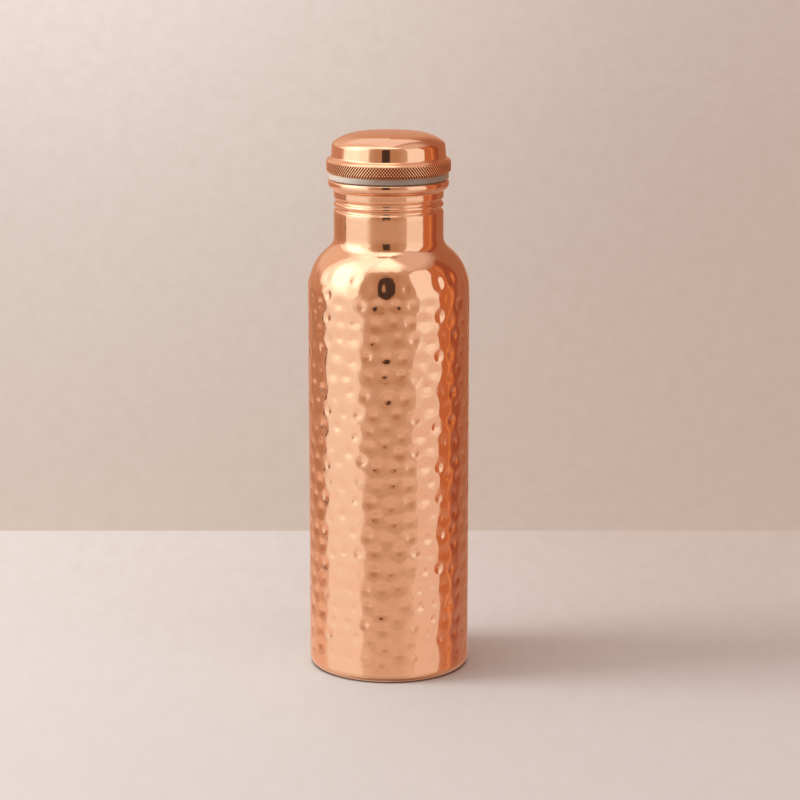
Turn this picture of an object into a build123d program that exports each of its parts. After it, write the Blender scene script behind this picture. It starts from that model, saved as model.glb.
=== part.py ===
from build123d import *
import os
from math import asin, atan2, cos, degrees, radians, sin, sqrt

# Copper water bottle: hammered drawn body, threaded neck sleeve and a screw cap with a silicone seal.
# Millimetres, +Z up, origin at the centre of the face that the bottle stands on.
# Every outline is drawn as (radius, height) and turned about Z.

# Driving dimensions
SHEET = 0.6                # copper sheet of the body, base and cap dome
BODY_R = 38.0              # outside of the straight barrel
FOOT_R = 3.7               # rounding where the barrel turns under
FOOT_FLANGE_R = 31.0       # inner edge of the turned-under flange
SHOULDER_Z = 182.0         # top of the straight barrel
SHOULDER_R = 25.0          # rounding of the shoulder
NECK_R = 25.7              # outside of the neck
NECK_ROOT_R = 7.0          # hollow where the shoulder meets the neck
GROOVE_DEPTH = 0.9         # depth of the two rolled grooves
LOW_GROOVE_Z = 220.7
HIGH_GROOVE_Z = 224.3
GROOVE_REACH = 1.8         # height from a groove's bottom to its edge
LIP_TOP_Z = 234.1          # seat of the seal
LIP_FLARE_R = 3.2          # rounding of the lip's underside
LIP_FLARE_CENTRE = (25.0, 232.3)
LIP_ROOT_R = 0.8           # hollow where the neck meets the flare
LIP_CORNER_R = 1.2         # rounding at the top of the lip
LIP_EDGE_R = 25.2          # cut edge of the sheet, folded over the sleeve

PAN_R = 34.0               # edge of the base pan
PAN_STEP_R = 30.0          # outer start of the pan's step
PAN_FLOOR_R = 26.0         # edge of its raised floor
PAN_RISE = 2.8             # how far the floor is pushed up

PITCH = 4.0                # thread pitch, right-handed
THREAD_DEPTH = 1.0
THREAD_BASE = 2.2          # tooth width at its root
THREAD_CREST = 1.1         # tooth width at its crest
THREAD_BURY = 0.3          # how far a tooth is sunk in its wall
THREAD_GAP = 0.3           # clearance between plug and sleeve, at crest and root
SLEEVE_ROOT_R = 23.5       # thread root inside the sleeve
SLEEVE_BOTTOM_Z = 211.0
SLEEVE_CHAMFER = 0.8
SLEEVE_THREAD_Z = 212.5    # middle of the first tooth
SLEEVE_TURNS = 4.5

PLUG_WALL = 0.8
PLUG_BOTTOM_Z = 216.0
PLUG_CORNER_R = 1.0
PLUG_THREAD_Z = 218.5      # half a pitch away from the sleeve's teeth
PLUG_TURNS = 3.0

SEAL_R = 28.05
SEAL_EDGE_R = 0.35
SEAL_HEIGHT = 2.9

RING_R = 29.1              # over the crests of the knurl
RING_BORE_R = 24.6
RING_TOP_Z = 242.9
RING_BEVEL = 1.3
RING_EDGE = 0.2
COLLAR_TOP_Z = 241.5       # rim of the plug's collar, inside the ring
SOLDER_LEG = 0.8

DOME_TOP_Z = 256.2
DOME_CROWN_R = 149.0
DOME_CROWN_REACH = 15.5    # radius at which the shallow crown ends
DOME_BEND_R = 20.4         # from the crown down to the corner
DOME_CORNER_R = 3.1
DOME_WALL_R = 26.75        # at DOME_WALL_Z
DOME_WALL_Z = 246.0
DOME_LEAN = 4.8            # degrees by which the wall leans in
DOME_SKIRT_R = 3.0         # rounded shoulder above the knurl
DOME_SKIRT_CENTRE = (26.53, 241.27)
DOME_HOLLOW_R = 1.2        # hollow between that shoulder and the wall

# Derived places
PLUG_ROOT_R = SLEEVE_ROOT_R - THREAD_DEPTH - THREAD_GAP
SEAL_BORE_R = PLUG_ROOT_R + THREAD_GAP
SEAL_TOP_Z = LIP_TOP_Z + SEAL_HEIGHT


def turned(*edges):
    """A solid turned about Z from a closed outline of (radius, height) edges."""
    return revolve(Plane.XZ * make_face(edges), Axis.Z, 360)


def point_on(centre, radius, angle):
    """The point at an angle, in degrees, on a circle in the outline's plane."""
    return (centre[0] + radius * cos(radians(angle)), centre[1] + radius * sin(radians(angle)))


def arc(centre, radius, start, end):
    """A circular arc between two angles in degrees."""
    return CenterArc(centre, radius, start, end - start)


def s_bend(start, end, tangent):
    """Two equal arcs that leave one point and reach the other along the same direction."""
    middle = ((start[0] + end[0]) / 2, (start[1] + end[1]) / 2)
    back = (-tangent[0], -tangent[1])
    return [TangentArc(start, middle, tangent=tangent), TangentArc(end, middle, tangent=back)]


def neck_root():
    """Centre of the neck's root hollow, and the angle at which it meets the shoulder."""
    shoulder = (BODY_R - SHOULDER_R, SHOULDER_Z)
    across = NECK_R + NECK_ROOT_R - shoulder[0]
    up = sqrt((SHOULDER_R + NECK_ROOT_R) ** 2 - across ** 2)
    return (NECK_R + NECK_ROOT_R, shoulder[1] + up), degrees(atan2(up, across))


def lip_root():
    """Centre of the hollow under the lip, and the angle at which it meets the flare."""
    across = NECK_R + LIP_ROOT_R - LIP_FLARE_CENTRE[0]
    down = sqrt((LIP_FLARE_R + LIP_ROOT_R) ** 2 - across ** 2)
    return (NECK_R + LIP_ROOT_R, LIP_FLARE_CENTRE[1] - down), -degrees(atan2(down, across))


def lip_corner():
    """Centre of the lip's top rounding, and the angle at which the flare runs into it."""
    up = LIP_TOP_Z - LIP_CORNER_R - LIP_FLARE_CENTRE[1]
    across = sqrt((LIP_FLARE_R - LIP_CORNER_R) ** 2 - up ** 2)
    return (LIP_FLARE_CENTRE[0] + across, LIP_FLARE_CENTRE[1] + up), degrees(atan2(up, across))


def neck_edges(inset, bottom_z):
    """Neck, two rolled grooves and flared lip, moved inwards through the sheet by inset."""
    wall = NECK_R - inset
    groove = wall - GROOVE_DEPTH
    up = (0, 1)
    root, root_angle = lip_root()
    corner, corner_angle = lip_corner()
    first = LOW_GROOVE_Z - GROOVE_REACH
    between = (LOW_GROOVE_Z + HIGH_GROOVE_Z) / 2
    last = HIGH_GROOVE_Z + GROOVE_REACH
    edges = [Line((wall, bottom_z), (wall, first))]
    edges += s_bend((wall, first), (groove, LOW_GROOVE_Z), up)
    edges += s_bend((groove, LOW_GROOVE_Z), (wall, between), up)
    edges += s_bend((wall, between), (groove, HIGH_GROOVE_Z), up)
    edges += s_bend((groove, HIGH_GROOVE_Z), (wall, last), up)
    edges.append(Line((wall, last), (wall, root[1])))
    edges.append(arc(root, LIP_ROOT_R + inset, 180, 180 + root_angle))
    edges.append(arc(LIP_FLARE_CENTRE, LIP_FLARE_R - inset, root_angle, corner_angle))
    edges.append(arc(corner, LIP_CORNER_R - inset, corner_angle, 90))
    edges.append(Line((corner[0], LIP_TOP_Z - inset), (LIP_EDGE_R, LIP_TOP_Z - inset)))
    return edges


def body_wall_edges(inset):
    """Foot, barrel, shoulder and neck root, moved inwards through the sheet by inset."""
    foot = (BODY_R - FOOT_R, FOOT_R)
    shoulder = (BODY_R - SHOULDER_R, SHOULDER_Z)
    root, root_angle = neck_root()
    wall = BODY_R - inset
    return [
        Line((FOOT_FLANGE_R, inset), (foot[0], inset)),
        arc(foot, FOOT_R - inset, -90, 0),
        Line((wall, FOOT_R), (wall, SHOULDER_Z)),
        arc(shoulder, SHOULDER_R - inset, 0, root_angle),
        arc(root, NECK_ROOT_R + inset, 180 + root_angle, 180),
    ]


def body_shell():
    """Barrel, shoulder, neck and lip, drawn in one piece from a single blank."""
    root_z = neck_root()[0][1]
    outside = body_wall_edges(0) + neck_edges(0, root_z)
    inside = body_wall_edges(SHEET) + neck_edges(SHEET, root_z)
    lip_edge = Line((LIP_EDGE_R, LIP_TOP_Z), (LIP_EDGE_R, LIP_TOP_Z - SHEET))
    foot_edge = Line((FOOT_FLANGE_R, 0), (FOOT_FLANGE_R, SHEET))
    return turned(*outside, lip_edge, *inside, foot_edge)


def base_pan():
    """Pressed disc with a raised floor, lying on the barrel's turned-under flange."""
    def face(height):
        floor = height + PAN_RISE
        step = s_bend((PAN_STEP_R, height), (PAN_FLOOR_R, floor), (-1, 0))
        rim = Line((PAN_R, height), (PAN_STEP_R, height))
        return [rim, *step, Line((PAN_FLOOR_R, floor), (0, floor))]
    edge = Line((PAN_R, SHEET), (PAN_R, 2 * SHEET))
    middle = Line((0, SHEET + PAN_RISE), (0, 2 * SHEET + PAN_RISE))
    return turned(*face(SHEET), middle, *face(2 * SHEET), edge)


def base_braze_ring():
    """Brazing metal that fills the corner between the base pan and the barrel."""
    foot = (BODY_R - FOOT_R, FOOT_R)
    wetted = -40
    start = (PAN_R, 2 * SHEET)
    end = point_on(foot, FOOT_R - SHEET, wetted)
    sag = ((start[0] + end[0]) / 2, start[1] - SHEET / 4)
    return turned(
        Line((PAN_R, SHEET), start),
        ThreePointArc(start, sag, end),
        arc(foot, FOOT_R - SHEET, wetted, -90),
        Line((foot[0], SHEET), (PAN_R, SHEET)),
    )


def thread(wall_r, outwards, start_z, turns):
    """A right-handed trapezoidal ridge wound on a wall, standing outwards (1) or inwards (-1)."""
    buried = wall_r - outwards * THREAD_BURY
    crest = wall_r + outwards * THREAD_DEPTH
    spread = (THREAD_BASE - THREAD_CREST) / 2 * THREAD_BURY / THREAD_DEPTH
    base = THREAD_BASE / 2 + spread
    tip = THREAD_CREST / 2
    corners = [(buried, -base), (crest, -tip), (crest, tip), (buried, base)]
    tooth = Pos(0, 0, start_z) * (Plane.XZ * make_face(Polyline(*corners, close=True)))
    path = Helix(pitch=PITCH, height=turns * PITCH, radius=wall_r, center=(0, 0, start_z))
    return sweep(tooth, path=path, is_frenet=True)


def neck_thread_sleeve():
    """Threaded sleeve, locked in the neck by the two rolled grooves and the folded lip."""
    wall = NECK_R - SHEET
    outside = neck_edges(SHEET, SLEEVE_BOTTOM_Z)
    corner_r = SLEEVE_ROOT_R + SLEEVE_CHAMFER
    rim = Polyline(
        (LIP_EDGE_R, LIP_TOP_Z - SHEET),
        (LIP_EDGE_R, LIP_TOP_Z),
        (corner_r, LIP_TOP_Z),
        (SLEEVE_ROOT_R, LIP_TOP_Z - SLEEVE_CHAMFER),
        (SLEEVE_ROOT_R, SLEEVE_BOTTOM_Z),
        (wall, SLEEVE_BOTTOM_Z),
    )
    return turned(*outside, rim) + thread(SLEEVE_ROOT_R, -1, SLEEVE_THREAD_Z, SLEEVE_TURNS)


def sealing_gasket():
    """Flat silicone ring between the lip and the cap, with softened outer edges."""
    low = (SEAL_R - SEAL_EDGE_R, LIP_TOP_Z + SEAL_EDGE_R)
    high = (SEAL_R - SEAL_EDGE_R, SEAL_TOP_Z - SEAL_EDGE_R)
    return turned(
        Line((SEAL_BORE_R, LIP_TOP_Z), (low[0], LIP_TOP_Z)),
        arc(low, SEAL_EDGE_R, -90, 0),
        Line((SEAL_R, low[1]), (SEAL_R, high[1])),
        arc(high, SEAL_EDGE_R, 0, 90),
        Line((high[0], SEAL_TOP_Z), (SEAL_BORE_R, SEAL_TOP_Z)),
        Line((SEAL_BORE_R, SEAL_TOP_Z), (SEAL_BORE_R, LIP_TOP_Z)),
    )


def cap_threaded_plug():
    """Closed cup that screws into the sleeve, with a collar that carries the rest of the cap."""
    inner_r = PLUG_ROOT_R - PLUG_WALL
    corner = (PLUG_ROOT_R - PLUG_CORNER_R, PLUG_BOTTOM_Z + PLUG_CORNER_R)
    collar_r = RING_BORE_R - PLUG_WALL
    floor_z = PLUG_BOTTOM_Z + PLUG_WALL
    cup = turned(
        Line((0, PLUG_BOTTOM_Z), (corner[0], PLUG_BOTTOM_Z)),
        arc(corner, PLUG_CORNER_R, -90, 0),
        Polyline(
            (PLUG_ROOT_R, corner[1]),
            (PLUG_ROOT_R, SEAL_TOP_Z),
            (RING_BORE_R, SEAL_TOP_Z),
            (RING_BORE_R, COLLAR_TOP_Z),
            (collar_r, COLLAR_TOP_Z),
            (collar_r, SEAL_TOP_Z + PLUG_WALL),
            (inner_r, SEAL_TOP_Z + PLUG_WALL),
            (inner_r, floor_z),
            (0, floor_z),
            (0, PLUG_BOTTOM_Z),
        ),
    )
    return cup + thread(PLUG_ROOT_R, 1, PLUG_THREAD_Z, PLUG_TURNS)


def cap_grip_ring():
    """Heavy ring round the collar; its diamond knurl lies within its outside radius."""
    return turned(
        Polyline(
            (RING_BORE_R, SEAL_TOP_Z),
            (RING_R - RING_BEVEL, SEAL_TOP_Z),
            (RING_R, SEAL_TOP_Z + RING_BEVEL),
            (RING_R, RING_TOP_Z - RING_EDGE),
            (RING_R - RING_EDGE, RING_TOP_Z),
            (RING_BORE_R, RING_TOP_Z),
            close=True,
        )
    )


def cap_solder_ring():
    """Solder that joins the plug's collar to the bore of the grip ring, inside the cap."""
    return turned(
        Polyline(
            (RING_BORE_R - PLUG_WALL, COLLAR_TOP_Z),
            (RING_BORE_R, COLLAR_TOP_Z),
            (RING_BORE_R, COLLAR_TOP_Z + SOLDER_LEG),
            close=True,
        )
    )


def meet(start, lean, centre, distance):
    """The upper point at a distance from a centre, on a line that leans in by some degrees."""
    direction = (-sin(radians(lean)), cos(radians(lean)))
    offset = (start[0] - centre[0], start[1] - centre[1])
    along = offset[0] * direction[0] + offset[1] * direction[1]
    reach = sqrt(along ** 2 - offset[0] ** 2 - offset[1] ** 2 + distance ** 2) - along
    return (start[0] + reach * direction[0], start[1] + reach * direction[1])


def angle_to(centre, point):
    """Direction from a centre to a point, in degrees."""
    return degrees(atan2(point[1] - centre[1], point[0] - centre[0]))


def cap_dome():
    """Spun dome whose flared skirt stands on the grip ring."""
    crown = (0, DOME_TOP_Z - DOME_CROWN_R)
    bend_angle = 90 - degrees(asin(DOME_CROWN_REACH / DOME_CROWN_R))
    bend = point_on(crown, DOME_CROWN_R - DOME_BEND_R, bend_angle)
    wall = (DOME_WALL_R, DOME_WALL_Z)
    corner = meet(point_on(wall, -DOME_CORNER_R, DOME_LEAN), DOME_LEAN, bend, DOME_BEND_R - DOME_CORNER_R)
    corner_angle = angle_to(bend, corner)
    skirt = DOME_SKIRT_CENTRE
    hollow = meet(point_on(wall, DOME_HOLLOW_R, DOME_LEAN), DOME_LEAN, skirt, DOME_SKIRT_R + DOME_HOLLOW_R)
    skirt_angle = angle_to(skirt, hollow)

    def edge_angle(inset):
        return degrees(asin((RING_TOP_Z - skirt[1]) / (DOME_SKIRT_R - inset)))

    def face(inset):
        wall_top = point_on(corner, DOME_CORNER_R - inset, DOME_LEAN)
        wall_foot = point_on(hollow, DOME_HOLLOW_R + inset, 180 + DOME_LEAN)
        return [
            arc(crown, DOME_CROWN_R - inset, 90, bend_angle),
            arc(bend, DOME_BEND_R - inset, bend_angle, corner_angle),
            arc(corner, DOME_CORNER_R - inset, corner_angle, DOME_LEAN),
            Line(wall_top, wall_foot),
            arc(hollow, DOME_HOLLOW_R + inset, 180 + DOME_LEAN, 180 + skirt_angle),
            arc(skirt, DOME_SKIRT_R - inset, skirt_angle, edge_angle(inset)),
        ]
    skirt_edge = Line(
        point_on(skirt, DOME_SKIRT_R, edge_angle(0)),
        point_on(skirt, DOME_SKIRT_R - SHEET, edge_angle(SHEET)),
    )
    axis_line = Line((0, DOME_TOP_Z), (0, DOME_TOP_Z - SHEET))
    return turned(*face(0), skirt_edge, *face(SHEET), axis_line)


NODES = {
    "body_shell": body_shell,
    "base_pan": base_pan,
    "base_braze_ring": base_braze_ring,
    "neck_thread_sleeve": neck_thread_sleeve,
    "sealing_gasket": sealing_gasket,
    "cap_threaded_plug": cap_threaded_plug,
    "cap_grip_ring": cap_grip_ring,
    "cap_solder_ring": cap_solder_ring,
    "cap_dome": cap_dome,
}

os.makedirs("parts", exist_ok=True)
for name, make in NODES.items():
    export_step(make(), f"parts/{name}.step")
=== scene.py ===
from math import asin, atan2, ceil, cos, degrees, hypot, pi, radians, sin, sqrt, tan

import bpy
import numpy as np
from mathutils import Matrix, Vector


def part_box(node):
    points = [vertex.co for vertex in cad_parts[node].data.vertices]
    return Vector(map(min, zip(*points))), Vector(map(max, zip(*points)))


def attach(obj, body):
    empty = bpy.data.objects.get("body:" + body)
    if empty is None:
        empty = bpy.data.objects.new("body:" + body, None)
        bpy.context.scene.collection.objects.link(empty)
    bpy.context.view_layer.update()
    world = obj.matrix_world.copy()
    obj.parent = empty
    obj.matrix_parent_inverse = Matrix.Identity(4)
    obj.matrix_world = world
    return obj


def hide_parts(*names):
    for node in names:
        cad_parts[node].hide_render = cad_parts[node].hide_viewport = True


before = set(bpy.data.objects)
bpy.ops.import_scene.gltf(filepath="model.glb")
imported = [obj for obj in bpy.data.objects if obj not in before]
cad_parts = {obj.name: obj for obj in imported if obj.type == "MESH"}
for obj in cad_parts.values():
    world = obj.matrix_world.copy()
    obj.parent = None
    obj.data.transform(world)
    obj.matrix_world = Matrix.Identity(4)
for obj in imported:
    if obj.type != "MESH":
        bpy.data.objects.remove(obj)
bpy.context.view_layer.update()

# Copper water bottle: hammered barrel, polished neck and dome, knurled ring, silicone seal.
# Metres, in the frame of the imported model: +Z up, the bottle stands on z = 0.

MM = 0.001

# ---------------------------------------------------------------- camera

CAMERA_DISTANCE = 1.2232      # level distance from the bottle's axis
CAMERA_HEIGHT = 0.3925
CAMERA_SIDE = 0.0053          # the bottle stands a little left of the middle
CAMERA_TILT = 12.18           # degrees below the horizon
CAMERA_LENS = 118.7
CAMERA_SENSOR = 36.0


def make_camera():
    data = bpy.data.cameras.new("camera")
    data.lens = CAMERA_LENS
    data.sensor_width = CAMERA_SENSOR
    camera = bpy.data.objects.new("camera", data)
    camera.location = (CAMERA_SIDE, -CAMERA_DISTANCE, CAMERA_HEIGHT)
    camera.rotation_euler = (radians(90 - CAMERA_TILT), 0, 0)
    bpy.context.scene.collection.objects.link(camera)
    bpy.context.scene.camera = camera


make_camera()

# ---------------------------------------------------------------- sizes

BODY_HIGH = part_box("body_shell")[1]
BODY_R = BODY_HIGH.x
LIP_TOP_Z = BODY_HIGH.z
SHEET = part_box("base_pan")[0].z        # the pan lies on the turned-under sheet
FOOT_R = 3.7 * MM
FOOT_FLANGE_R = 31.0 * MM
SHOULDER_Z = 182.0 * MM
SHOULDER_R = 25.0 * MM
NECK_R = 25.7 * MM
NECK_ROOT_R = 7.0 * MM
GROOVE_DEPTH = 0.9 * MM
LOW_GROOVE_Z = 220.7 * MM
HIGH_GROOVE_Z = 224.3 * MM
GROOVE_REACH = 1.8 * MM
LIP_FLARE_R = 3.2 * MM
LIP_FLARE_CENTRE = (25.0 * MM, 232.3 * MM)
LIP_ROOT_R = 0.8 * MM
LIP_CORNER_R = 1.2 * MM
LIP_EDGE_R = 25.2 * MM

SEAL_LOW, SEAL_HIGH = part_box("sealing_gasket")
SEAL_BORE_R = 22.5 * MM
SEAL_EDGE_R = 0.35 * MM
SEAL_FOOT_INSET = 1.1 * MM    # narrower foot, which leaves a dark line above the lip
SEAL_FOOT_HEIGHT = 0.35 * MM
SEAL_ROW = 0.5 * MM
SEAL_WAVE = 0.05 * MM         # unevenness of the soft ring's outer face

RING_LOW, RING_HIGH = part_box("cap_grip_ring")
RING_R = RING_HIGH.x
RING_BORE_R = 24.6 * MM
RING_BEVEL = 1.3 * MM
RING_EDGE = 0.2 * MM

DOME_LOW, DOME_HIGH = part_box("cap_dome")
DOME_CROWN_R = 149.0 * MM
DOME_CROWN_REACH = 15.5 * MM
DOME_BEND_R = 20.4 * MM
DOME_CORNER_R = 3.1 * MM
DOME_WALL = (26.75 * MM, 246.0 * MM)
DOME_LEAN = 4.8               # degrees by which the wall leans in
DOME_SKIRT_R = 3.0 * MM
DOME_SKIRT_CENTRE = (26.53 * MM, 241.27 * MM)
DOME_HOLLOW_R = 1.2 * MM
DOME_ROW = 0.3 * MM           # rows on the straight wall keep its smooth shading straight

# ---------------------------------------------------------------- outlines, as lists of (radius, height)

CURVE_STEP = 4.0              # degrees between points on a round stretch, unless it has its own below
FOOT_STEP = 10
SHOULDER_STEP = 2.5
NECK_ROOT_STEP = 7
LIP_ROOT_STEP = 12
LIP_FLARE_STEP = 6
LIP_CORNER_STEP = 15
DOME_CROWN_STEP = 0.4
DOME_BEND_STEP = 2.0
DOME_HOLLOW_STEP = 8
SEAL_EDGE_STEP = 15
S_BEND_POINTS = 5             # points on each of an s-bend's two arcs
SAME_POINT = 1e-6             # metres; closer points count as one
ON_AXIS = 1e-9


def arc(centre, radius, start, end, step=CURVE_STEP):
    """Points on a circular arc between two angles in degrees."""
    count = max(2, ceil(abs(end - start) / step) + 1)
    angles = np.radians(np.linspace(start, end, count))
    return [(centre[0] + radius * cos(a), centre[1] + radius * sin(a)) for a in angles]


def straight(start, end, step=None):
    """Points on a straight stretch, close enough together for its detail."""
    length = hypot(end[0] - start[0], end[1] - start[1])
    count = 2 if step is None else max(2, ceil(length / step) + 1)
    return [tuple(p) for p in np.linspace(start, end, count)]


def s_bend(start, end):
    """Two equal arcs that leave one point and reach the other in the height's direction."""
    across = (end[0] - start[0]) / 2
    up = (end[1] - start[1]) / 2
    turn = 2 * atan2(abs(across), abs(up))
    radius = abs(up) / sin(turn)
    side = 1 if across > 0 else -1
    rise = 1 if up > 0 else -1
    points = []
    for a in np.linspace(0, turn, S_BEND_POINTS):
        points.append((start[0] + side * radius * (1 - cos(a)), start[1] + rise * radius * sin(a)))
    for a in np.linspace(turn, 0, S_BEND_POINTS):
        points.append((end[0] - side * radius * (1 - cos(a)), end[1] - rise * radius * sin(a)))
    return points


def joined(*stretches):
    """One outline from stretches that follow each other, without doubled points."""
    points = []
    for p in (p for stretch in stretches for p in stretch):
        if not points or hypot(p[0] - points[-1][0], p[1] - points[-1][1]) > SAME_POINT:
            points.append(p)
    if hypot(points[0][0] - points[-1][0], points[0][1] - points[-1][1]) < SAME_POINT:
        points.pop()
    return points


def neck_root():
    """Centre of the neck's root hollow, and the angle at which it meets the shoulder."""
    across = NECK_R + NECK_ROOT_R - (BODY_R - SHOULDER_R)
    up = sqrt((SHOULDER_R + NECK_ROOT_R) ** 2 - across ** 2)
    return (NECK_R + NECK_ROOT_R, SHOULDER_Z + up), degrees(atan2(up, across))


def body_outline(inset, row, neck_row):
    """The body's sheet from the foot flange to the lip's edge, moved inwards by inset.
    row and neck_row are the distances between points on the barrel and on the neck."""
    foot = (BODY_R - FOOT_R, FOOT_R)
    shoulder = (BODY_R - SHOULDER_R, SHOULDER_Z)
    root, root_angle = neck_root()
    wall = BODY_R - inset
    neck = NECK_R - inset
    groove = neck - GROOVE_DEPTH
    between = (LOW_GROOVE_Z + HIGH_GROOVE_Z) / 2
    first = LOW_GROOVE_Z - GROOVE_REACH
    last = HIGH_GROOVE_Z + GROOVE_REACH
    under_across = NECK_R + LIP_ROOT_R - LIP_FLARE_CENTRE[0]
    under_down = sqrt((LIP_FLARE_R + LIP_ROOT_R) ** 2 - under_across ** 2)
    under = (NECK_R + LIP_ROOT_R, LIP_FLARE_CENTRE[1] - under_down)
    under_angle = -degrees(atan2(under_down, under_across))
    corner_up = LIP_TOP_Z - LIP_CORNER_R - LIP_FLARE_CENTRE[1]
    corner_across = sqrt((LIP_FLARE_R - LIP_CORNER_R) ** 2 - corner_up ** 2)
    corner = (LIP_FLARE_CENTRE[0] + corner_across, LIP_FLARE_CENTRE[1] + corner_up)
    corner_angle = degrees(atan2(corner_up, corner_across))
    return joined(
        straight((FOOT_FLANGE_R, inset), (foot[0], inset)),
        arc(foot, FOOT_R - inset, -90, 0, FOOT_STEP),
        straight((wall, FOOT_R), (wall, SHOULDER_Z), row),
        arc(shoulder, SHOULDER_R - inset, 0, root_angle, SHOULDER_STEP),
        arc(root, NECK_ROOT_R + inset, 180 + root_angle, 180, NECK_ROOT_STEP),
        straight((neck, root[1]), (neck, first), neck_row),
        s_bend((neck, first), (groove, LOW_GROOVE_Z)),
        s_bend((groove, LOW_GROOVE_Z), (neck, between)),
        s_bend((neck, between), (groove, HIGH_GROOVE_Z)),
        s_bend((groove, HIGH_GROOVE_Z), (neck, last)),
        straight((neck, last), (neck, under[1]), neck_row),
        arc(under, LIP_ROOT_R + inset, 180, 180 + under_angle, LIP_ROOT_STEP),
        arc(LIP_FLARE_CENTRE, LIP_FLARE_R - inset, under_angle, corner_angle, LIP_FLARE_STEP),
        arc(corner, LIP_CORNER_R - inset, corner_angle, 90, LIP_CORNER_STEP),
        straight((corner[0], LIP_TOP_Z - inset), (LIP_EDGE_R, LIP_TOP_Z - inset)),
    )


def point_on(centre, radius, angle):
    """The point of a circle at an angle in degrees."""
    return (centre[0] + radius * cos(radians(angle)), centre[1] + radius * sin(radians(angle)))


def meet(start, lean, centre, distance):
    """The upper point at a distance from a centre, on a line that leans in by some degrees."""
    way = (-sin(radians(lean)), cos(radians(lean)))
    offset = (start[0] - centre[0], start[1] - centre[1])
    along = offset[0] * way[0] + offset[1] * way[1]
    reach = sqrt(along ** 2 - offset[0] ** 2 - offset[1] ** 2 + distance ** 2) - along
    return (start[0] + reach * way[0], start[1] + reach * way[1])


def angle_to(centre, point):
    """Direction from a centre to a point, in degrees."""
    return degrees(atan2(point[1] - centre[1], point[0] - centre[0]))


def dome_outline(inset):
    """The cap's dome and flared skirt, from the axis outwards and down, moved inwards by inset."""
    crown = (0.0, DOME_HIGH.z - DOME_CROWN_R)
    bend_angle = 90 - degrees(asin(DOME_CROWN_REACH / DOME_CROWN_R))
    bend = point_on(crown, DOME_CROWN_R - DOME_BEND_R, bend_angle)
    inside = point_on(DOME_WALL, -DOME_CORNER_R, DOME_LEAN)
    corner = meet(inside, DOME_LEAN, bend, DOME_BEND_R - DOME_CORNER_R)
    corner_angle = angle_to(bend, corner)
    skirt = DOME_SKIRT_CENTRE
    outside = point_on(DOME_WALL, DOME_HOLLOW_R, DOME_LEAN)
    hollow = meet(outside, DOME_LEAN, skirt, DOME_SKIRT_R + DOME_HOLLOW_R)
    skirt_angle = angle_to(skirt, hollow)
    edge_angle = degrees(asin((DOME_LOW.z - skirt[1]) / (DOME_SKIRT_R - inset)))
    wall_top = point_on(corner, DOME_CORNER_R - inset, DOME_LEAN)
    wall_foot = point_on(hollow, DOME_HOLLOW_R + inset, 180 + DOME_LEAN)
    return joined(
        arc(crown, DOME_CROWN_R - inset, 90, bend_angle, DOME_CROWN_STEP),
        arc(bend, DOME_BEND_R - inset, bend_angle, corner_angle, DOME_BEND_STEP),
        arc(corner, DOME_CORNER_R - inset, corner_angle, DOME_LEAN),
        straight(wall_top, wall_foot, DOME_ROW),
        arc(hollow, DOME_HOLLOW_R + inset, 180 + DOME_LEAN, 180 + skirt_angle, DOME_HOLLOW_STEP),
        arc(skirt, DOME_SKIRT_R - inset, skirt_angle, edge_angle),
    )


# ---------------------------------------------------------------- turned meshes

SHARP_ANGLE = radians(35)
SMOOTH_SEGMENTS = 192         # round the dome and the seal


def turn(name, outline, segments, shape=None):
    """A closed mesh turned about Z. An outline that starts and ends on the axis gets two poles.
    shape, if given, moves the points: it takes and returns radius, height and angle arrays."""
    poles = outline[0][0] < ON_AXIS
    ring = outline[1:-1] if poles else outline
    angles = np.arange(segments) * (2 * pi / segments)
    radius = np.repeat(np.array([p[0] for p in ring])[:, None], segments, axis=1)
    height = np.repeat(np.array([p[1] for p in ring])[:, None], segments, axis=1)
    turned = np.repeat(angles[None, :], len(ring), axis=0)
    if shape is not None:
        radius, height, turned = shape(radius, height, turned)
    points = np.stack([radius * np.cos(turned), radius * np.sin(turned), height], axis=2)
    vertices = [tuple(p) for p in points.reshape(-1, 3)]
    rows = len(ring)
    faces = []
    for i in range(rows - 1 if poles else rows):
        low, high = i * segments, (i + 1) % rows * segments
        for j in range(segments):
            k = (j + 1) % segments
            faces.append((low + j, low + k, high + k, high + j))
    if poles:
        vertices += [(0.0, 0.0, outline[0][1]), (0.0, 0.0, outline[-1][1])]
        first, last = len(vertices) - 2, len(vertices) - 1
        end = (rows - 1) * segments
        for j in range(segments):
            k = (j + 1) % segments
            faces.append((first, k, j))
            faces.append((last, end + j, end + k))
    mesh = bpy.data.meshes.new(name)
    mesh.from_pydata(vertices, [], faces)
    mesh.update()
    face_outwards(mesh)
    mesh.shade_smooth()
    mesh.set_sharp_from_angle(angle=SHARP_ANGLE)
    piece = bpy.data.objects.new(name, mesh)
    bpy.context.scene.collection.objects.link(piece)
    return piece


def face_outwards(mesh):
    """Turns every face of a closed mesh over if its volume comes out negative."""
    mesh.calc_loop_triangles()
    corners = np.zeros(len(mesh.loop_triangles) * 3, np.int32)
    mesh.loop_triangles.foreach_get("vertices", corners)
    points = np.zeros(len(mesh.vertices) * 3, np.float32)
    mesh.vertices.foreach_get("co", points)
    a, b, c = (points.reshape(-1, 3)[corners.reshape(-1, 3)[:, i]] for i in range(3))
    if np.einsum("ij,ij->i", a, np.cross(b, c)).sum() < 0:
        mesh.flip_normals()


# ---------------------------------------------------------------- hammered body

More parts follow.
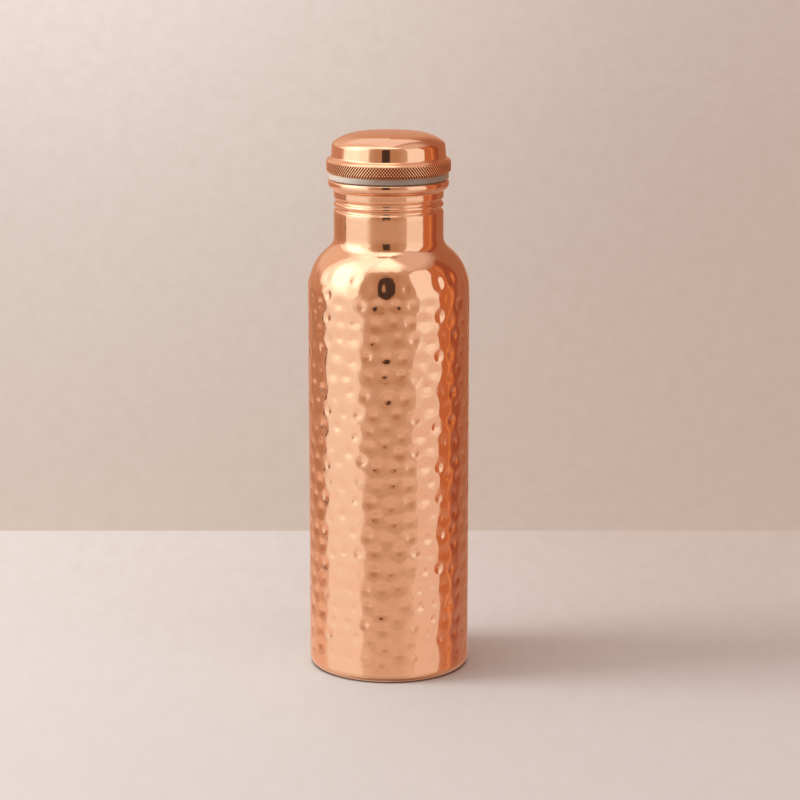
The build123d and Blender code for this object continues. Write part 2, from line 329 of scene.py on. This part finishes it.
DENT_SPACING = 8.5 * MM       # between rows, and along a row
DENT_FIRST_Z = 12.0 * MM
DENT_LAST_Z = 189.0 * MM
DENT_PAST_FIRST = 3 * MM      # how far beyond the first and last rows a dent may be moved
DENT_PAST_LAST = 2 * MM
DENT_SHIFT = 0.2              # unevenness of a row's start, as a share of the spacing
DENT_STRAY = 0.2              # and of each dent's place along and up
DENT_STRAY_UP = 0.22
DENT_REACH = 0.9              # dents closer than this share of the spacing push each other away
DENT_PUSH = 0.3
DENT_ROUNDS = 10
BOWL_R = 4.9 * MM             # the shallow bowl that each blow leaves
BOWL_DEPTH = 0.11 * MM
PIT_R = 2.5 * MM              # the deeper print of the hammer's nose in its middle
PIT_DEPTH = 0.31 * MM
PIT_SHARPNESS = 1.2
FORCE_Z = (4 * MM, 30 * MM, 80 * MM, 150 * MM, 180 * MM)
FORCE = (0.45, 0.85, 1.0, 1.05, 1.2)    # of the blows at those heights: lighter towards the foot
BARREL_ROW = 0.94 * MM         # fine enough for the dents
NECK_ROW = 2.0 * MM
BARREL_SEGMENTS = 300
DENT_TURN = radians(7)        # brings one dent of the top row to the front
SEED = 7
HIDDEN_EVERY = 3              # the sheet's hidden inside keeps one point in so many
STEEPEST = 0.99               # sine of the steepest slope that dents are pressed into


def dents():
    """Hammer dents as (angle, height, bowl depth, pit radius, pit depth), in uneven staggered rows."""
    random = np.random.default_rng(SEED)
    around = 2 * pi * BODY_R
    per_row = round(around / DENT_SPACING)
    rows = round((DENT_LAST_Z - DENT_FIRST_Z) / DENT_SPACING) + 1
    along, height = [], []
    for i in range(rows):
        z = DENT_FIRST_Z + (DENT_LAST_Z - DENT_FIRST_Z) * i / (rows - 1)
        phase = (i % 2) / 2 + random.uniform(-DENT_SHIFT, DENT_SHIFT)
        for j in range(per_row):
            along.append((j + phase + random.normal(0, DENT_STRAY)) * around / per_row)
            height.append(z + random.normal(0, DENT_STRAY_UP) * DENT_SPACING)
    along, height = np.array(along), np.array(height)
    for _ in range(DENT_ROUNDS):
        along, height = spread(along, height, around)
    count = len(along)
    force = np.interp(height, FORCE_Z, FORCE)
    bowl = BOWL_DEPTH * force * random.uniform(0.75, 1.25, count)
    pit_r = PIT_R * random.uniform(0.75, 1.2, count) * np.sqrt(force)
    pit = PIT_DEPTH * force * random.uniform(0.4, 1.2, count)
    return along / BODY_R + DENT_TURN, height, bowl, pit_r, pit


def spread(along, height, around):
    """Moves dents that lie too close away from each other, once."""
    reach = DENT_REACH * DENT_SPACING
    across = (along[:, None] - along[None, :] + around / 2) % around - around / 2
    up = height[:, None] - height[None, :]
    apart = np.hypot(across, up) + np.eye(len(along))
    push = np.clip(reach - apart, 0, None) * (1 - np.eye(len(along))) * DENT_PUSH
    along = along + (push * across / apart).sum(1)
    height = height + (push * up / apart).sum(1)
    return along, np.clip(height, DENT_FIRST_Z - DENT_PAST_FIRST, DENT_LAST_Z + DENT_PAST_LAST)


def dent_depth(angle, height, marks):
    """How far the sheet is pushed in at each point: the deepest bowl that reaches it, and its pit."""
    depth = np.zeros_like(height)
    pits = np.zeros_like(height)
    for a, z, bowl, pit_r, pit in zip(*marks):
        near = np.abs(height - z) < BOWL_R
        across = ((angle[near] - a + pi) % (2 * pi) - pi) * BODY_R
        away = (height[near] - z) ** 2 + across ** 2
        bowl_depth = bowl * np.clip(1 - (away / BOWL_R ** 2) ** 2, 0, 1)
        pit_depth = pit * np.clip(1 - away / pit_r ** 2, 0, 1) ** PIT_SHARPNESS
        depth[near] = np.maximum(depth[near], bowl_depth)
        pits[near] = np.maximum(pits[near], pit_depth)
    return depth + pits


def make_body():
    """The hammered sheet: its dented outside, and a coarser plain inside."""
    outside = body_outline(0.0, BARREL_ROW, NECK_ROW)
    inside = body_outline(SHEET, None, None)
    hidden = inside[:1] + inside[1:-1:HIDDEN_EVERY] + inside[-1:]
    outline = outside + hidden[::-1]
    marks = dents()

    def hammer(radius, height, angle):
        outer = np.zeros_like(radius)
        outer[:len(outside)] = dent_depth(angle[:len(outside)], height[:len(outside)], marks)
        tilt = np.clip((height - SHOULDER_Z) / SHOULDER_R, 0, STEEPEST)
        return radius - outer * np.sqrt(1 - tilt ** 2), height - outer * tilt, angle
    return turn("hammered_body", outline, BARREL_SEGMENTS, hammer)


# ---------------------------------------------------------------- knurled ring

KNURL_TEETH = 132
KNURL_ANGLE = 40.0            # degrees between a groove and the ring's axis
KNURL_DEPTH = 0.34 * MM
KNURL_FLAT = 0.29             # share of the pitch left flat between two grooves
KNURL_UNEVEN = 0.3            # how much deeper one set of grooves is, at the sides
KNURL_SWAP = 1.7              # how soon that is reached on the way round from the front
KNURL_FADE_TOP = 0.5 * MM     # the grooves run out towards both edges
KNURL_FADE_FOOT = 0.4 * MM
KNURL_POINTS = 12             # points round the ring for each tooth
KNURL_ROW = 0.11 * MM


def make_ring():
    """Ring whose outer face is cut by two crossing sets of grooves, inside its full radius.
    The depth of the cut is kept as the attribute "groove", 0 to 1, for the painted highlight on the
    crests and the painted shade in the grooves of its material."""
    bevel_z = RING_LOW.z + RING_BEVEL
    outline = joined(
        straight((RING_BORE_R, RING_LOW.z), (RING_R - RING_BEVEL, RING_LOW.z)),
        straight((RING_R - RING_BEVEL, RING_LOW.z), (RING_R, bevel_z), KNURL_ROW),
        straight((RING_R, bevel_z), (RING_R, RING_HIGH.z - RING_EDGE), KNURL_ROW),
        straight((RING_R, RING_HIGH.z - RING_EDGE), (RING_R - RING_EDGE, RING_HIGH.z)),
        straight((RING_R - RING_EDGE, RING_HIGH.z), (RING_BORE_R, RING_HIGH.z)),
    )
    slope = KNURL_TEETH / (2 * pi) / RING_R * tan(radians(KNURL_ANGLE))

    def wave(x):
        return np.abs((x % 1.0) * 2 - 1)

    grooves = []

    def knurl(radius, height, angle):
        around = angle * KNURL_TEETH / (2 * pi)
        along = (height - RING_LOW.z) * slope
        lean = KNURL_UNEVEN * np.clip(KNURL_SWAP * np.cos(angle), -1, 1)
        rising = (0.5 - lean) * (1 - wave(around - along))
        falling = (0.5 + lean) * (1 - wave(around + along))
        groove = np.maximum(rising, falling) / (0.5 + np.abs(lean))
        groove = np.clip((groove - KNURL_FLAT) / (1 - KNURL_FLAT), 0, 1)
        fade = np.clip((RING_HIGH.z - RING_EDGE - height) / KNURL_FADE_TOP, 0, 1)
        fade *= np.clip((height - RING_LOW.z) / KNURL_FADE_FOOT, 0, 1)
        cut = KNURL_DEPTH * groove * fade * (radius > RING_R - RING_BEVEL)
        grooves.append(cut / KNURL_DEPTH)
        return radius - cut, height, angle
    ring = turn("knurled_grip_ring", outline, KNURL_TEETH * KNURL_POINTS, knurl)
    groove = ring.data.attributes.new("groove", "FLOAT", "POINT")
    groove.data.foreach_set("value", grooves[0].ravel().astype(np.float32))
    return ring


def make_dome():
    """The spun sheet, outside and inside."""
    outline = dome_outline(0.0) + dome_outline(SHEET)[::-1]
    return turn("spun_dome", outline, SMOOTH_SEGMENTS)


def make_seal():
    """Soft ring with rounded edges on a narrower foot."""
    foot_r = SEAL_HIGH.x - SEAL_FOOT_INSET
    low = (SEAL_HIGH.x - SEAL_EDGE_R, SEAL_LOW.z + SEAL_FOOT_HEIGHT + SEAL_EDGE_R)
    high = (low[0], SEAL_HIGH.z - SEAL_EDGE_R)
    outline = joined(
        straight((SEAL_BORE_R, SEAL_LOW.z), (foot_r, SEAL_LOW.z)),
        straight((foot_r, SEAL_LOW.z), (foot_r, SEAL_LOW.z + SEAL_FOOT_HEIGHT)),
        arc(low, SEAL_EDGE_R, -90, 0, SEAL_EDGE_STEP),
        straight((SEAL_HIGH.x, low[1]), (SEAL_HIGH.x, high[1]), SEAL_ROW),
        arc(high, SEAL_EDGE_R, 0, 90, SEAL_EDGE_STEP),
        straight((high[0], SEAL_HIGH.z), (SEAL_BORE_R, SEAL_HIGH.z)),
    )

    def uneven(radius, height, angle):
        bulge = SEAL_WAVE * (np.sin(3 * angle + 1) + np.sin(7 * angle) - 2) / 2
        return radius + bulge * (radius > low[0]), height, angle
    return turn("silicone_seal", outline, SMOOTH_SEGMENTS, uneven)


# ---------------------------------------------------------------- materials

COPPER = (0.93, 0.575, 0.375, 1)
COPPER_DEEP = (0.86, 0.46, 0.27, 1)
CREST_HIGHLIGHT = (1.0, 0.66, 0.40, 1)             # painted highlight on the knurl's crests
CREST_UNTIL = 0.3                        # as a share of the groove's depth
# painted shade in the knurl's grooves, the span of groove depth over which it comes in, and the extra
# roughness there
GROOVE_SHADE = (0.24, 0.038, 0.006, 1)
GROOVE_SHADE_SPAN = (0.02, 0.5)
GROOVE_ROUGH = 0.15
SPUN_LINES = 0.08                        # height of the fine lines, as a share of the waves'
GRAIN_HEIGHT = 0.0006                    # millimetres
SILICONE = (0.36, 0.297, 0.245, 1)
SILICONE_DARK = (0.28, 0.222, 0.178, 1)
# colour of the painted light on the seal's left side
SILICONE_LIT_SIDE = (0.72, 0.68, 0.62, 1)
BRAZE = (0.62, 0.42, 0.20, 1)
BRAZE_DARK = (0.42, 0.24, 0.12, 1)


class Nodes:
    """Short names for building a node tree."""

    # socket names and numbers of the math, map range and mix nodes are Blender's own

    def __init__(self, tree):
        self.tree = tree

    def add(self, kind, inputs=None, **settings):
        node = self.tree.nodes.new(kind)
        for name, value in settings.items():
            setattr(node, name, value)
        for name, value in (inputs or {}).items():
            if isinstance(value, bpy.types.NodeSocket):
                self.tree.links.new(value, node.inputs[name])
            else:
                node.inputs[name].default_value = value
        return node

    def math(self, operation, a, b=0.0, c=0.0):
        return self.add("ShaderNodeMath", {0: a, 1: b, 2: c}, operation=operation).outputs[0]

    def ramp(self, value, low, high, to_low=0.0, to_high=1.0, smooth=True):
        """Takes a value from low..high to to_low..to_high, and holds it beyond them."""
        kind = "SMOOTHSTEP" if smooth else "LINEAR"
        inputs = {0: value, 1: low, 2: high, 3: to_low, 4: to_high}
        return self.add("ShaderNodeMapRange", inputs, interpolation_type=kind).outputs[0]

    def noise(self, where, scale, detail=2.0, rough=0.5):
        inputs = {"Vector": where, "Scale": scale, "Detail": detail, "Roughness": rough}
        return self.add("ShaderNodeTexNoise", inputs).outputs[0]

    def mix(self, share, a, b, blend="MIX"):
        node = self.add("ShaderNodeMix", {0: share, 6: a, 7: b}, data_type="RGBA", blend_type=blend)
        return node.outputs[2]


def new_material(name):
    """A material with an empty Principled shader, and where its nodes are on the object."""
    material = bpy.data.materials.new(name)
    material.use_nodes = True
    nodes = Nodes(material.node_tree)
    material.node_tree.nodes.clear()
    out = nodes.add("ShaderNodeOutputMaterial")
    shader = nodes.add("ShaderNodeBsdfPrincipled")
    material.node_tree.links.new(shader.outputs[0], out.inputs[0])
    where = nodes.add("ShaderNodeTexCoord").outputs["Object"]
    return material, nodes, shader, where


def copper(name, rough, spun=0.0, ripple=0.0, grooved=False):
    """Polished copper with slow colour drift and uneven gloss around the roughness "rough". spun and
    ripple are heights in millimetres: of the waves and lines left by spinning, and of small ripples.
    grooved paints light and shade by the mesh's groove attribute: a painted highlight on the crests,
    painted shade in the grooves."""
    material, nodes, shader, where = new_material(name)
    link = material.node_tree.links.new
    drift = nodes.noise(where, scale=38.0, detail=3.0, rough=0.55)
    colour = nodes.mix(nodes.ramp(drift, 0.42, 0.78, to_high=0.25), COPPER, COPPER_DEEP)
    smear = nodes.noise(where, scale=210.0, detail=4.0, rough=0.6)
    gloss = nodes.ramp(smear, 0.3, 0.75, rough * 0.75, rough * 1.35)
    shader.inputs["Metallic"].default_value = 1.0
    if grooved:
        groove = nodes.add("ShaderNodeAttribute", attribute_name="groove").outputs["Fac"]
        # painted highlight on the crests and painted shade in the grooves, by the groove attribute
        crest_highlight = nodes.ramp(groove, 0.0, CREST_UNTIL, 1.0, 0.0)
        groove_shade = nodes.ramp(groove, *GROOVE_SHADE_SPAN, smooth=False)
        colour = nodes.mix(groove_shade, nodes.mix(crest_highlight, COPPER_DEEP, CREST_HIGHLIGHT), GROOVE_SHADE)
        gloss = nodes.math("ADD", gloss, nodes.math("MULTIPLY", groove_shade, GROOVE_ROUGH))
    link(colour, shader.inputs["Base Color"])
    link(gloss, shader.inputs["Roughness"])
    wide = nodes.add("ShaderNodeMapping", {"Vector": where, "Scale": (1.0, 1.0, 9.0)}).outputs[0]
    fine = nodes.add("ShaderNodeMapping", {"Vector": where, "Scale": (1.0, 1.0, 60.0)}).outputs[0]
    waves = nodes.math("MULTIPLY", nodes.noise(wide, scale=70.0, detail=3.0, rough=0.6), spun)
    lines = nodes.math("MULTIPLY", nodes.noise(fine, scale=60.0, rough=0.6), spun * SPUN_LINES)
    grain = nodes.math("MULTIPLY", nodes.noise(where, scale=900.0), GRAIN_HEIGHT)
    uneven = nodes.math("MULTIPLY", nodes.noise(where, scale=350.0), ripple)
    height = nodes.math("ADD", nodes.math("ADD", waves, lines), nodes.math("ADD", grain, uneven))
    bump = nodes.add("ShaderNodeBump", {"Height": height, "Strength": 1.0, "Distance": MM})
    link(bump.outputs[0], shader.inputs["Normal"])
    return material


def silicone():
    """Warm grey silicone with a soft sheen, and painted light that makes its left side paler, towards
    the lamp.
    """
    material, nodes, shader, where = new_material("seal_silicone")
    link = material.node_tree.links.new
    cloud = nodes.noise(where, scale=160.0, detail=3.0, rough=0.6)
    colour = nodes.mix(cloud, SILICONE_DARK, SILICONE)
    side = nodes.add("ShaderNodeSeparateXYZ", {0: where}).outputs[0]
    # painted light: paler towards the left, the side facing the lamp
    lit_side = nodes.ramp(side, SEAL_HIGH.x * -0.15, SEAL_HIGH.x * -0.95, to_high=0.55)
    colour = nodes.mix(lit_side, colour, SILICONE_LIT_SIDE)
    link(colour, shader.inputs["Base Color"])
    link(nodes.ramp(cloud, 0.3, 0.7, 0.28, 0.42), shader.inputs["Roughness"])
    shader.inputs["Specular IOR Level"].default_value = 0.9
    shader.inputs["Coat Weight"].default_value = 0.5
    shader.inputs["Coat Roughness"].default_value = 0.3
    shader.inputs["Subsurface Weight"].default_value = 0.35
    shader.inputs["Subsurface Radius"].default_value = (1.0, 0.85, 0.75)
    shader.inputs["Subsurface Scale"].default_value = 2 * MM
    fine = nodes.noise(where, scale=1400.0)
    bump = nodes.add("ShaderNodeBump", {"Height": fine, "Strength": 0.25, "Distance": 0.2 * MM})
    link(bump.outputs[0], shader.inputs["Normal"])
    return material


def braze():
    """Yellowish filler metal, cloudy and half rough."""
    material, nodes, shader, where = new_material("braze_metal")
    link = material.node_tree.links.new
    cloud = nodes.noise(where, scale=300.0, detail=4.0, rough=0.6)
    link(nodes.mix(cloud, BRAZE, BRAZE_DARK), shader.inputs["Base Color"])
    link(nodes.ramp(cloud, 0.3, 0.7, 0.3, 0.5), shader.inputs["Roughness"])
    shader.inputs["Metallic"].default_value = 1.0
    bump = nodes.add("ShaderNodeBump", {"Height": cloud, "Strength": 0.6, "Distance": 0.3 * MM})
    link(bump.outputs[0], shader.inputs["Normal"])
    return material


def wear(piece, material):
    """Gives a piece one material in place of any it has."""
    piece.data.materials.clear()
    piece.data.materials.append(material)


# ---------------------------------------------------------------- object

def place(piece, body, slot, material, *nodes):
    """Gives a piece its material and body, and lets it stand for its CAD node. slot is not used."""
    wear(piece, material)
    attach(piece, body)
    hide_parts(*nodes)


def make_object():
    """Four pieces have meshes of their own; the other five show as they are in the CAD."""
    hammered = copper("hammered_copper", 0.09, spun=0.008, ripple=0.035)
    polished = copper("polished_copper", 0.06, spun=0.012, ripple=0.008)
    knurled = copper("knurled_copper", 0.1, grooved=True)
    place(make_body(), "bottle", "hammered_copper", hammered, "body_shell")
    place(make_dome(), "cap", "polished_copper", polished, "cap_dome")
    place(make_ring(), "cap", "knurled_copper", knurled, "cap_grip_ring")
    place(make_seal(), "seal", "seal_silicone", silicone(), "sealing_gasket")
    turned = copper("turned_copper", 0.2, spun=0.05)
    satin = copper("base_copper", 0.28, spun=0.03)
    filler = braze()
    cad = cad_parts
    for name, material in (
        ("neck_thread_sleeve", turned),
        ("cap_threaded_plug", turned),
        ("base_pan", satin),
        ("base_braze_ring", filler),
        ("cap_solder_ring", filler),
    ):
        wear(cad[name], material)


make_object()

# ---------------------------------------------------------------- studio

FLOOR_SIZE = 14.0
FLOOR_FRONT_Y = -0.15
FLOOR_BACK_Y = 0.24           # the floor meets the wall's colour here
FLOOR_SEAM = 2 * MM
FLOOR_ASIDE = 0.16            # the painted light's colours change from left to right within this share of the distance to either side
# left and right colours of the floor, near and at the seam, and of what is behind it, there and far:
# painted light, paler on the left than on the right, and painted shade just behind the seam
FLOOR_NEAR = ((0.565, 0.558, 0.552, 1), (0.555, 0.525, 0.515, 1))
FLOOR_LINE = ((0.60, 0.585, 0.575, 1), (0.525, 0.465, 0.43, 1))
BEHIND_LINE = ((0.49, 0.44, 0.395, 1), (0.475, 0.405, 0.355, 1))
BEHIND_FAR = ((0.97, 1.0, 1.0, 1), (0.62, 0.57, 0.535, 1))
CONTACT_SHADOW_COLOUR = (0.07, 0.035, 0.025, 1)    # painted contact shadow: the dark line on the floor under the foot's round edge
CONTACT_SHADOW_SHARE = 0.85
CONTACT_SHADOW_INSIDE = 2.2 * MM
CONTACT_SHADOW_OUTSIDE = 0.4 * MM
PLASTER_SHADE = (0.93, 0.915, 0.90, 1)  # multiplied in, more strongly towards the back
PLASTER_SHARES = (0.35, 0.6)
BACKDROP_R = FLOOR_SIZE / 2.05
BACKDROP_COLOUR = (0.72, 0.62, 0.56, 1)

BACK_WALL = (0.66, 0.36, 0.23)
CEILING = (1.0, 0.86, 0.83)
LEFT_BOX = (0.97, 0.90, 0.86)
CARD_EDGE = (0.62, 0.44, 0.33)
CARD_MIDDLE = (0.50, 0.30, 0.19)
CARD_TOP = (0.62, 0.42, 0.31)
CARD_SLOPE = (1.42, 1.6)      # height over distance at which the card's straight top edge fades

KEY_PLACE = (-1.1, -0.1, 0.75)
KEY_AIM = (0, 0, 0.1)
KEY_SIZE = 0.5
KEY_POWER = 11.5


def make_floor():
    """Pale plaster floor with a slightly darker one behind it, both with painted light, paler on the
    left, and painted shade just behind the seam.
    """
    bpy.ops.mesh.primitive_plane_add(size=FLOOR_SIZE, location=(0, 0, 0))
    floor = bpy.context.object
    floor.name = "floor"
    material, nodes, shader, where = new_material("floor_plaster")
    place_on = nodes.add("ShaderNodeSeparateXYZ", {0: where})
    across, depth = place_on.outputs[0], place_on.outputs[1]
    away = nodes.math("ADD", nodes.math("ABSOLUTE", depth), CAMERA_DISTANCE)
    aside = nodes.math("DIVIDE", across, away)
    rise = nodes.math("DIVIDE", CAMERA_HEIGHT, away)
    # painted light: colours run from the paler left to the darker right
    side = nodes.ramp(aside, -FLOOR_ASIDE, FLOOR_ASIDE)
    # painted shade just behind the seam, fading towards the far floor
    far = nodes.ramp(rise, 0.0, CAMERA_HEIGHT / (CAMERA_DISTANCE + FLOOR_BACK_Y))
    wall = nodes.mix(far, nodes.mix(side, *BEHIND_FAR), nodes.mix(side, *BEHIND_LINE))
    fore = nodes.ramp(depth, FLOOR_FRONT_Y, FLOOR_BACK_Y)
    front = nodes.mix(fore, nodes.mix(side, *FLOOR_NEAR), nodes.mix(side, *FLOOR_LINE))
    seam = nodes.ramp(depth, FLOOR_BACK_Y - FLOOR_SEAM, FLOOR_BACK_Y + FLOOR_SEAM)
    colour = nodes.mix(seam, front, wall)
    from_axis = nodes.add("ShaderNodeVectorMath", {0: where}, operation="LENGTH").outputs["Value"]
    # painted contact shadow in a ring round the foot
    gap = nodes.ramp(from_axis, BODY_R - CONTACT_SHADOW_INSIDE, BODY_R + CONTACT_SHADOW_OUTSIDE, CONTACT_SHADOW_SHARE, 0.0)
    colour = nodes.mix(gap, colour, CONTACT_SHADOW_COLOUR)
    paper = nodes.add("ShaderNodeCombineXYZ", {0: aside, 1: rise}).outputs[0]
    cloud = nodes.ramp(nodes.noise(paper, scale=160.0, detail=5.0, rough=0.75), 0.35, 0.68)
    strength = nodes.ramp(depth, FLOOR_FRONT_Y, FLOOR_BACK_Y, *PLASTER_SHARES)
    grain = nodes.math("MULTIPLY", cloud, strength)
    mottled = nodes.mix(grain, colour, PLASTER_SHADE, "MULTIPLY")
    material.node_tree.links.new(mottled, shader.inputs["Base Color"])
    shader.inputs["Roughness"].default_value = 0.8
    wear(floor, material)
    floor.visible_glossy = False


def make_backdrop():
    """A pale shell that only the camera sees, above the floor's far edge."""
    bpy.ops.mesh.primitive_uv_sphere_add(radius=BACKDROP_R, segments=48, ring_count=24)
    shell = bpy.context.object
    shell.name = "backdrop"
    material = bpy.data.materials.new("backdrop_pale")
    material.use_nodes = True
    nodes = Nodes(material.node_tree)
    material.node_tree.nodes.clear()
    glow = nodes.add("ShaderNodeEmission", {"Color": BACKDROP_COLOUR, "Strength": 1.0})
    out = nodes.add("ShaderNodeOutputMaterial")
    material.node_tree.links.new(glow.outputs[0], out.inputs[0])
    wear(shell, material)
    shell.visible_glossy = False
    shell.visible_diffuse = False
    shell.visible_shadow = False
    shell.visible_transmission = False


def make_studio():
    """Soft boxes, cards and the room as one surrounding light, by direction from the bottle. Azimuth 0
    is towards the camera's side, positive to its right. All angles are in degrees, and each patch has
    its colour, its span of azimuths, its span of elevations and the widths of its soft edges."""
    world = bpy.data.worlds.new("studio")
    bpy.context.scene.world = world
    world.use_nodes = True
    nodes = Nodes(world.node_tree)
    world.node_tree.nodes.clear()
    way = nodes.add("ShaderNodeSeparateXYZ", {0: nodes.add("ShaderNodeTexCoord").outputs["Generated"]})
    back = nodes.math("MULTIPLY", way.outputs[1], -1.0)
    azimuth = nodes.math("MULTIPLY", nodes.math("ARCTAN2", way.outputs[0], back), degrees(1))
    rise = nodes.math("MULTIPLY", nodes.math("ARCSINE", way.outputs[2]), degrees(1))

    def within(value, low, high, soft):
        enter = nodes.ramp(value, low - soft / 2, low + soft / 2)
        leave = nodes.ramp(value, high - soft / 2, high + soft / 2, 1.0, 0.0)
        return nodes.math("MULTIPLY", enter, leave)

    def patch(below, colour, across, up, soft=3.0, soft_up=None, share=1.0):
        """Lays a patch of light over what is there, between two azimuths and two elevations."""
        upright = within(rise, *up, soft_up or soft)
        mask = nodes.math("MULTIPLY", within(azimuth, *across, soft), upright)
        return nodes.mix(nodes.math("MULTIPLY", mask, share), below, (*colour, 1))

    everywhere = (-90, 90)
    low = (-90, -10)              # the floor in front of the lights, as the barrel mirrors it
    right_panel = (38, 77)

    # the room, darker to the right, with lighter walls and a pale ceiling at the back
    room = nodes.mix(nodes.ramp(azimuth, -60, 110), (0.60, 0.33, 0.22, 1), (0.40, 0.17, 0.10, 1))
    light = patch(room, BACK_WALL, (-210, -150), everywhere, soft=30)
    light = patch(light, BACK_WALL, (168, 210), everywhere, soft=16)
    light = patch(light, (0.90, 0.66, 0.53), (-165, -105), (9, 60), soft=34, soft_up=14)
    light = patch(light, CEILING, (-215, -148), (35, 100), soft=24, soft_up=9)
    light = patch(light, CEILING, (159, 220), (41, 100), soft=9)
    light = patch(light, (0.77, 0.60, 0.54), (37, 155), (48, 100), soft=26, soft_up=18)
    light = patch(light, (0.50, 0.27, 0.18), (-150, -105), (-13, -6), soft=20, soft_up=6)
    # the overhead light
    light = patch(light, (1.05, 0.98, 0.92), (-130, 28), (51, 100), soft=20, soft_up=6)
    light = patch(light, (1.75, 1.70, 1.62), (-135, 42), (62, 100), soft=34, soft_up=20)
    # the brown card round the camera, with paler edges and a straight top
    card_top = nodes.ramp(nodes.math("DIVIDE", way.outputs[2], back), *CARD_SLOPE, 1.0, 0.0)
    card = nodes.mix(within(azimuth, -30, 26, 24), (*CARD_EDGE, 1), (*CARD_MIDDLE, 1))
    card = nodes.mix(nodes.ramp(rise, 42, 56), card, (*CARD_TOP, 1))
    light = nodes.mix(nodes.math("MULTIPLY", within(azimuth, -48, 38, 3), card_top), light, card)
    # the floor in front of the card, left of it and at the back
    light = patch(light, (0.72, 0.56, 0.46), (-43, 36), low, soft=3, soft_up=15)
    light = patch(light, (0.60, 0.42, 0.32), (-30, 26), low, soft=20, soft_up=15)
    light = patch(light, (0.98, 0.84, 0.78), (-62, -39), low, soft=4, soft_up=12)
    light = patch(light, (0.84, 0.50, 0.35), (-165, -98), (-90, -16.8), soft=12, soft_up=3)
    # the pale panel on the right and the floor in front of it
    light = patch(light, (1.05, 0.98, 0.96), right_panel, (-90, 47), soft=4)
    light = patch(light, (0.76, 0.58, 0.50), right_panel, low, soft=6, soft_up=12, share=0.85)
    # the orange strip beside it, its bright edge and the dark gap after it
    light = patch(light, (0.54, 0.185, 0.08), (77, 105), (-90, 44), soft=3)
    light = patch(light, (0.80, 0.33, 0.13), (95.5, 98.5), (-90, 40), soft=2)
    light = patch(light, (0.34, 0.10, 0.055), (105, 120), (-90, 44), soft=4)
    # the soft box on the left: its faint surround, its face, and its brighter upper part and core
    light = patch(light, LEFT_BOX, (-102, -43), (-90, 95), soft=20)
    light = patch(light, LEFT_BOX, (-97, -60), (-90, 56), soft=9)
    light = patch(light, LEFT_BOX, (-85, -45), (-90, 56), soft=4)
    light = patch(light, (1.2, 1.13, 1.08), (-118, -60), (8, 60), soft=5, soft_up=9)
    light = patch(light, (1.5, 1.46, 1.42), (-100, -46), (-4, 95), soft=9, soft_up=16)
    light = patch(light, (1.3, 1.22, 1.16), (-60, -40), (-3, 20), soft=7, soft_up=8)
    light = patch(light, (2.3, 2.3, 2.3), (-100, -62), (14, 52), soft=26)
    # a thin dark line beyond the box's far edge
    light = patch(light, (0.22, 0.095, 0.06), (-105, -101.5), (-13, -4.5), soft=1.5, soft_up=2)
    # something dark and upright in the middle of the card, with a paler top
    light = patch(light, (0.07, 0.045, 0.04), (-13, 3), (-4.0, 40), soft=1.5)
    light = patch(light, (0.40, 0.26, 0.19), (-12, 2), (40, 50), soft=3)
    # the floor close to the bottle, paler on the left, and dark straight below
    lift = nodes.ramp(rise, -12, -19, 0.0, 0.38)
    lift = nodes.math("MULTIPLY", lift, nodes.ramp(azimuth, 60, 90, 1.0, 0.35))
    light = nodes.mix(lift, light, (1.0, 0.78, 0.70, 1))
    ground = nodes.mix(nodes.ramp(azimuth, 30, 80), (0.74, 0.58, 0.51, 1), (0.50, 0.32, 0.25, 1))
    ground = nodes.mix(within(azimuth, -43, 34, 6), ground, (0.62, 0.44, 0.345, 1))
    light = nodes.mix(nodes.ramp(rise, -18, -34, 0.0, 0.7), light, ground)
    light = nodes.mix(nodes.ramp(rise, -42, -76, 0.0, 0.8), light, (0.24, 0.12, 0.075, 1))
    sky = nodes.add("ShaderNodeBackground", {"Color": light, "Strength": 1.0})
    out = nodes.add("ShaderNodeOutputWorld")
    world.node_tree.links.new(sky.outputs[0], out.inputs[0])


def make_key_light():
    """A soft lamp on the left, which gives the shadow its direction and isn't mirrored."""
    data = bpy.data.lights.new("key", "AREA")
    data.shape = "RECTANGLE"
    data.size, data.size_y = KEY_SIZE, KEY_SIZE
    data.energy = KEY_POWER
    lamp = bpy.data.objects.new("key", data)
    lamp.location = KEY_PLACE
    lamp.rotation_euler = (Vector(KEY_AIM) - lamp.location).to_track_quat("-Z", "Y").to_euler()
    lamp.visible_glossy = False
    bpy.context.scene.collection.objects.link(lamp)


make_floor()
make_backdrop()
make_studio()
make_key_light()
bpy.context.scene.view_settings.view_transform = "Standard"
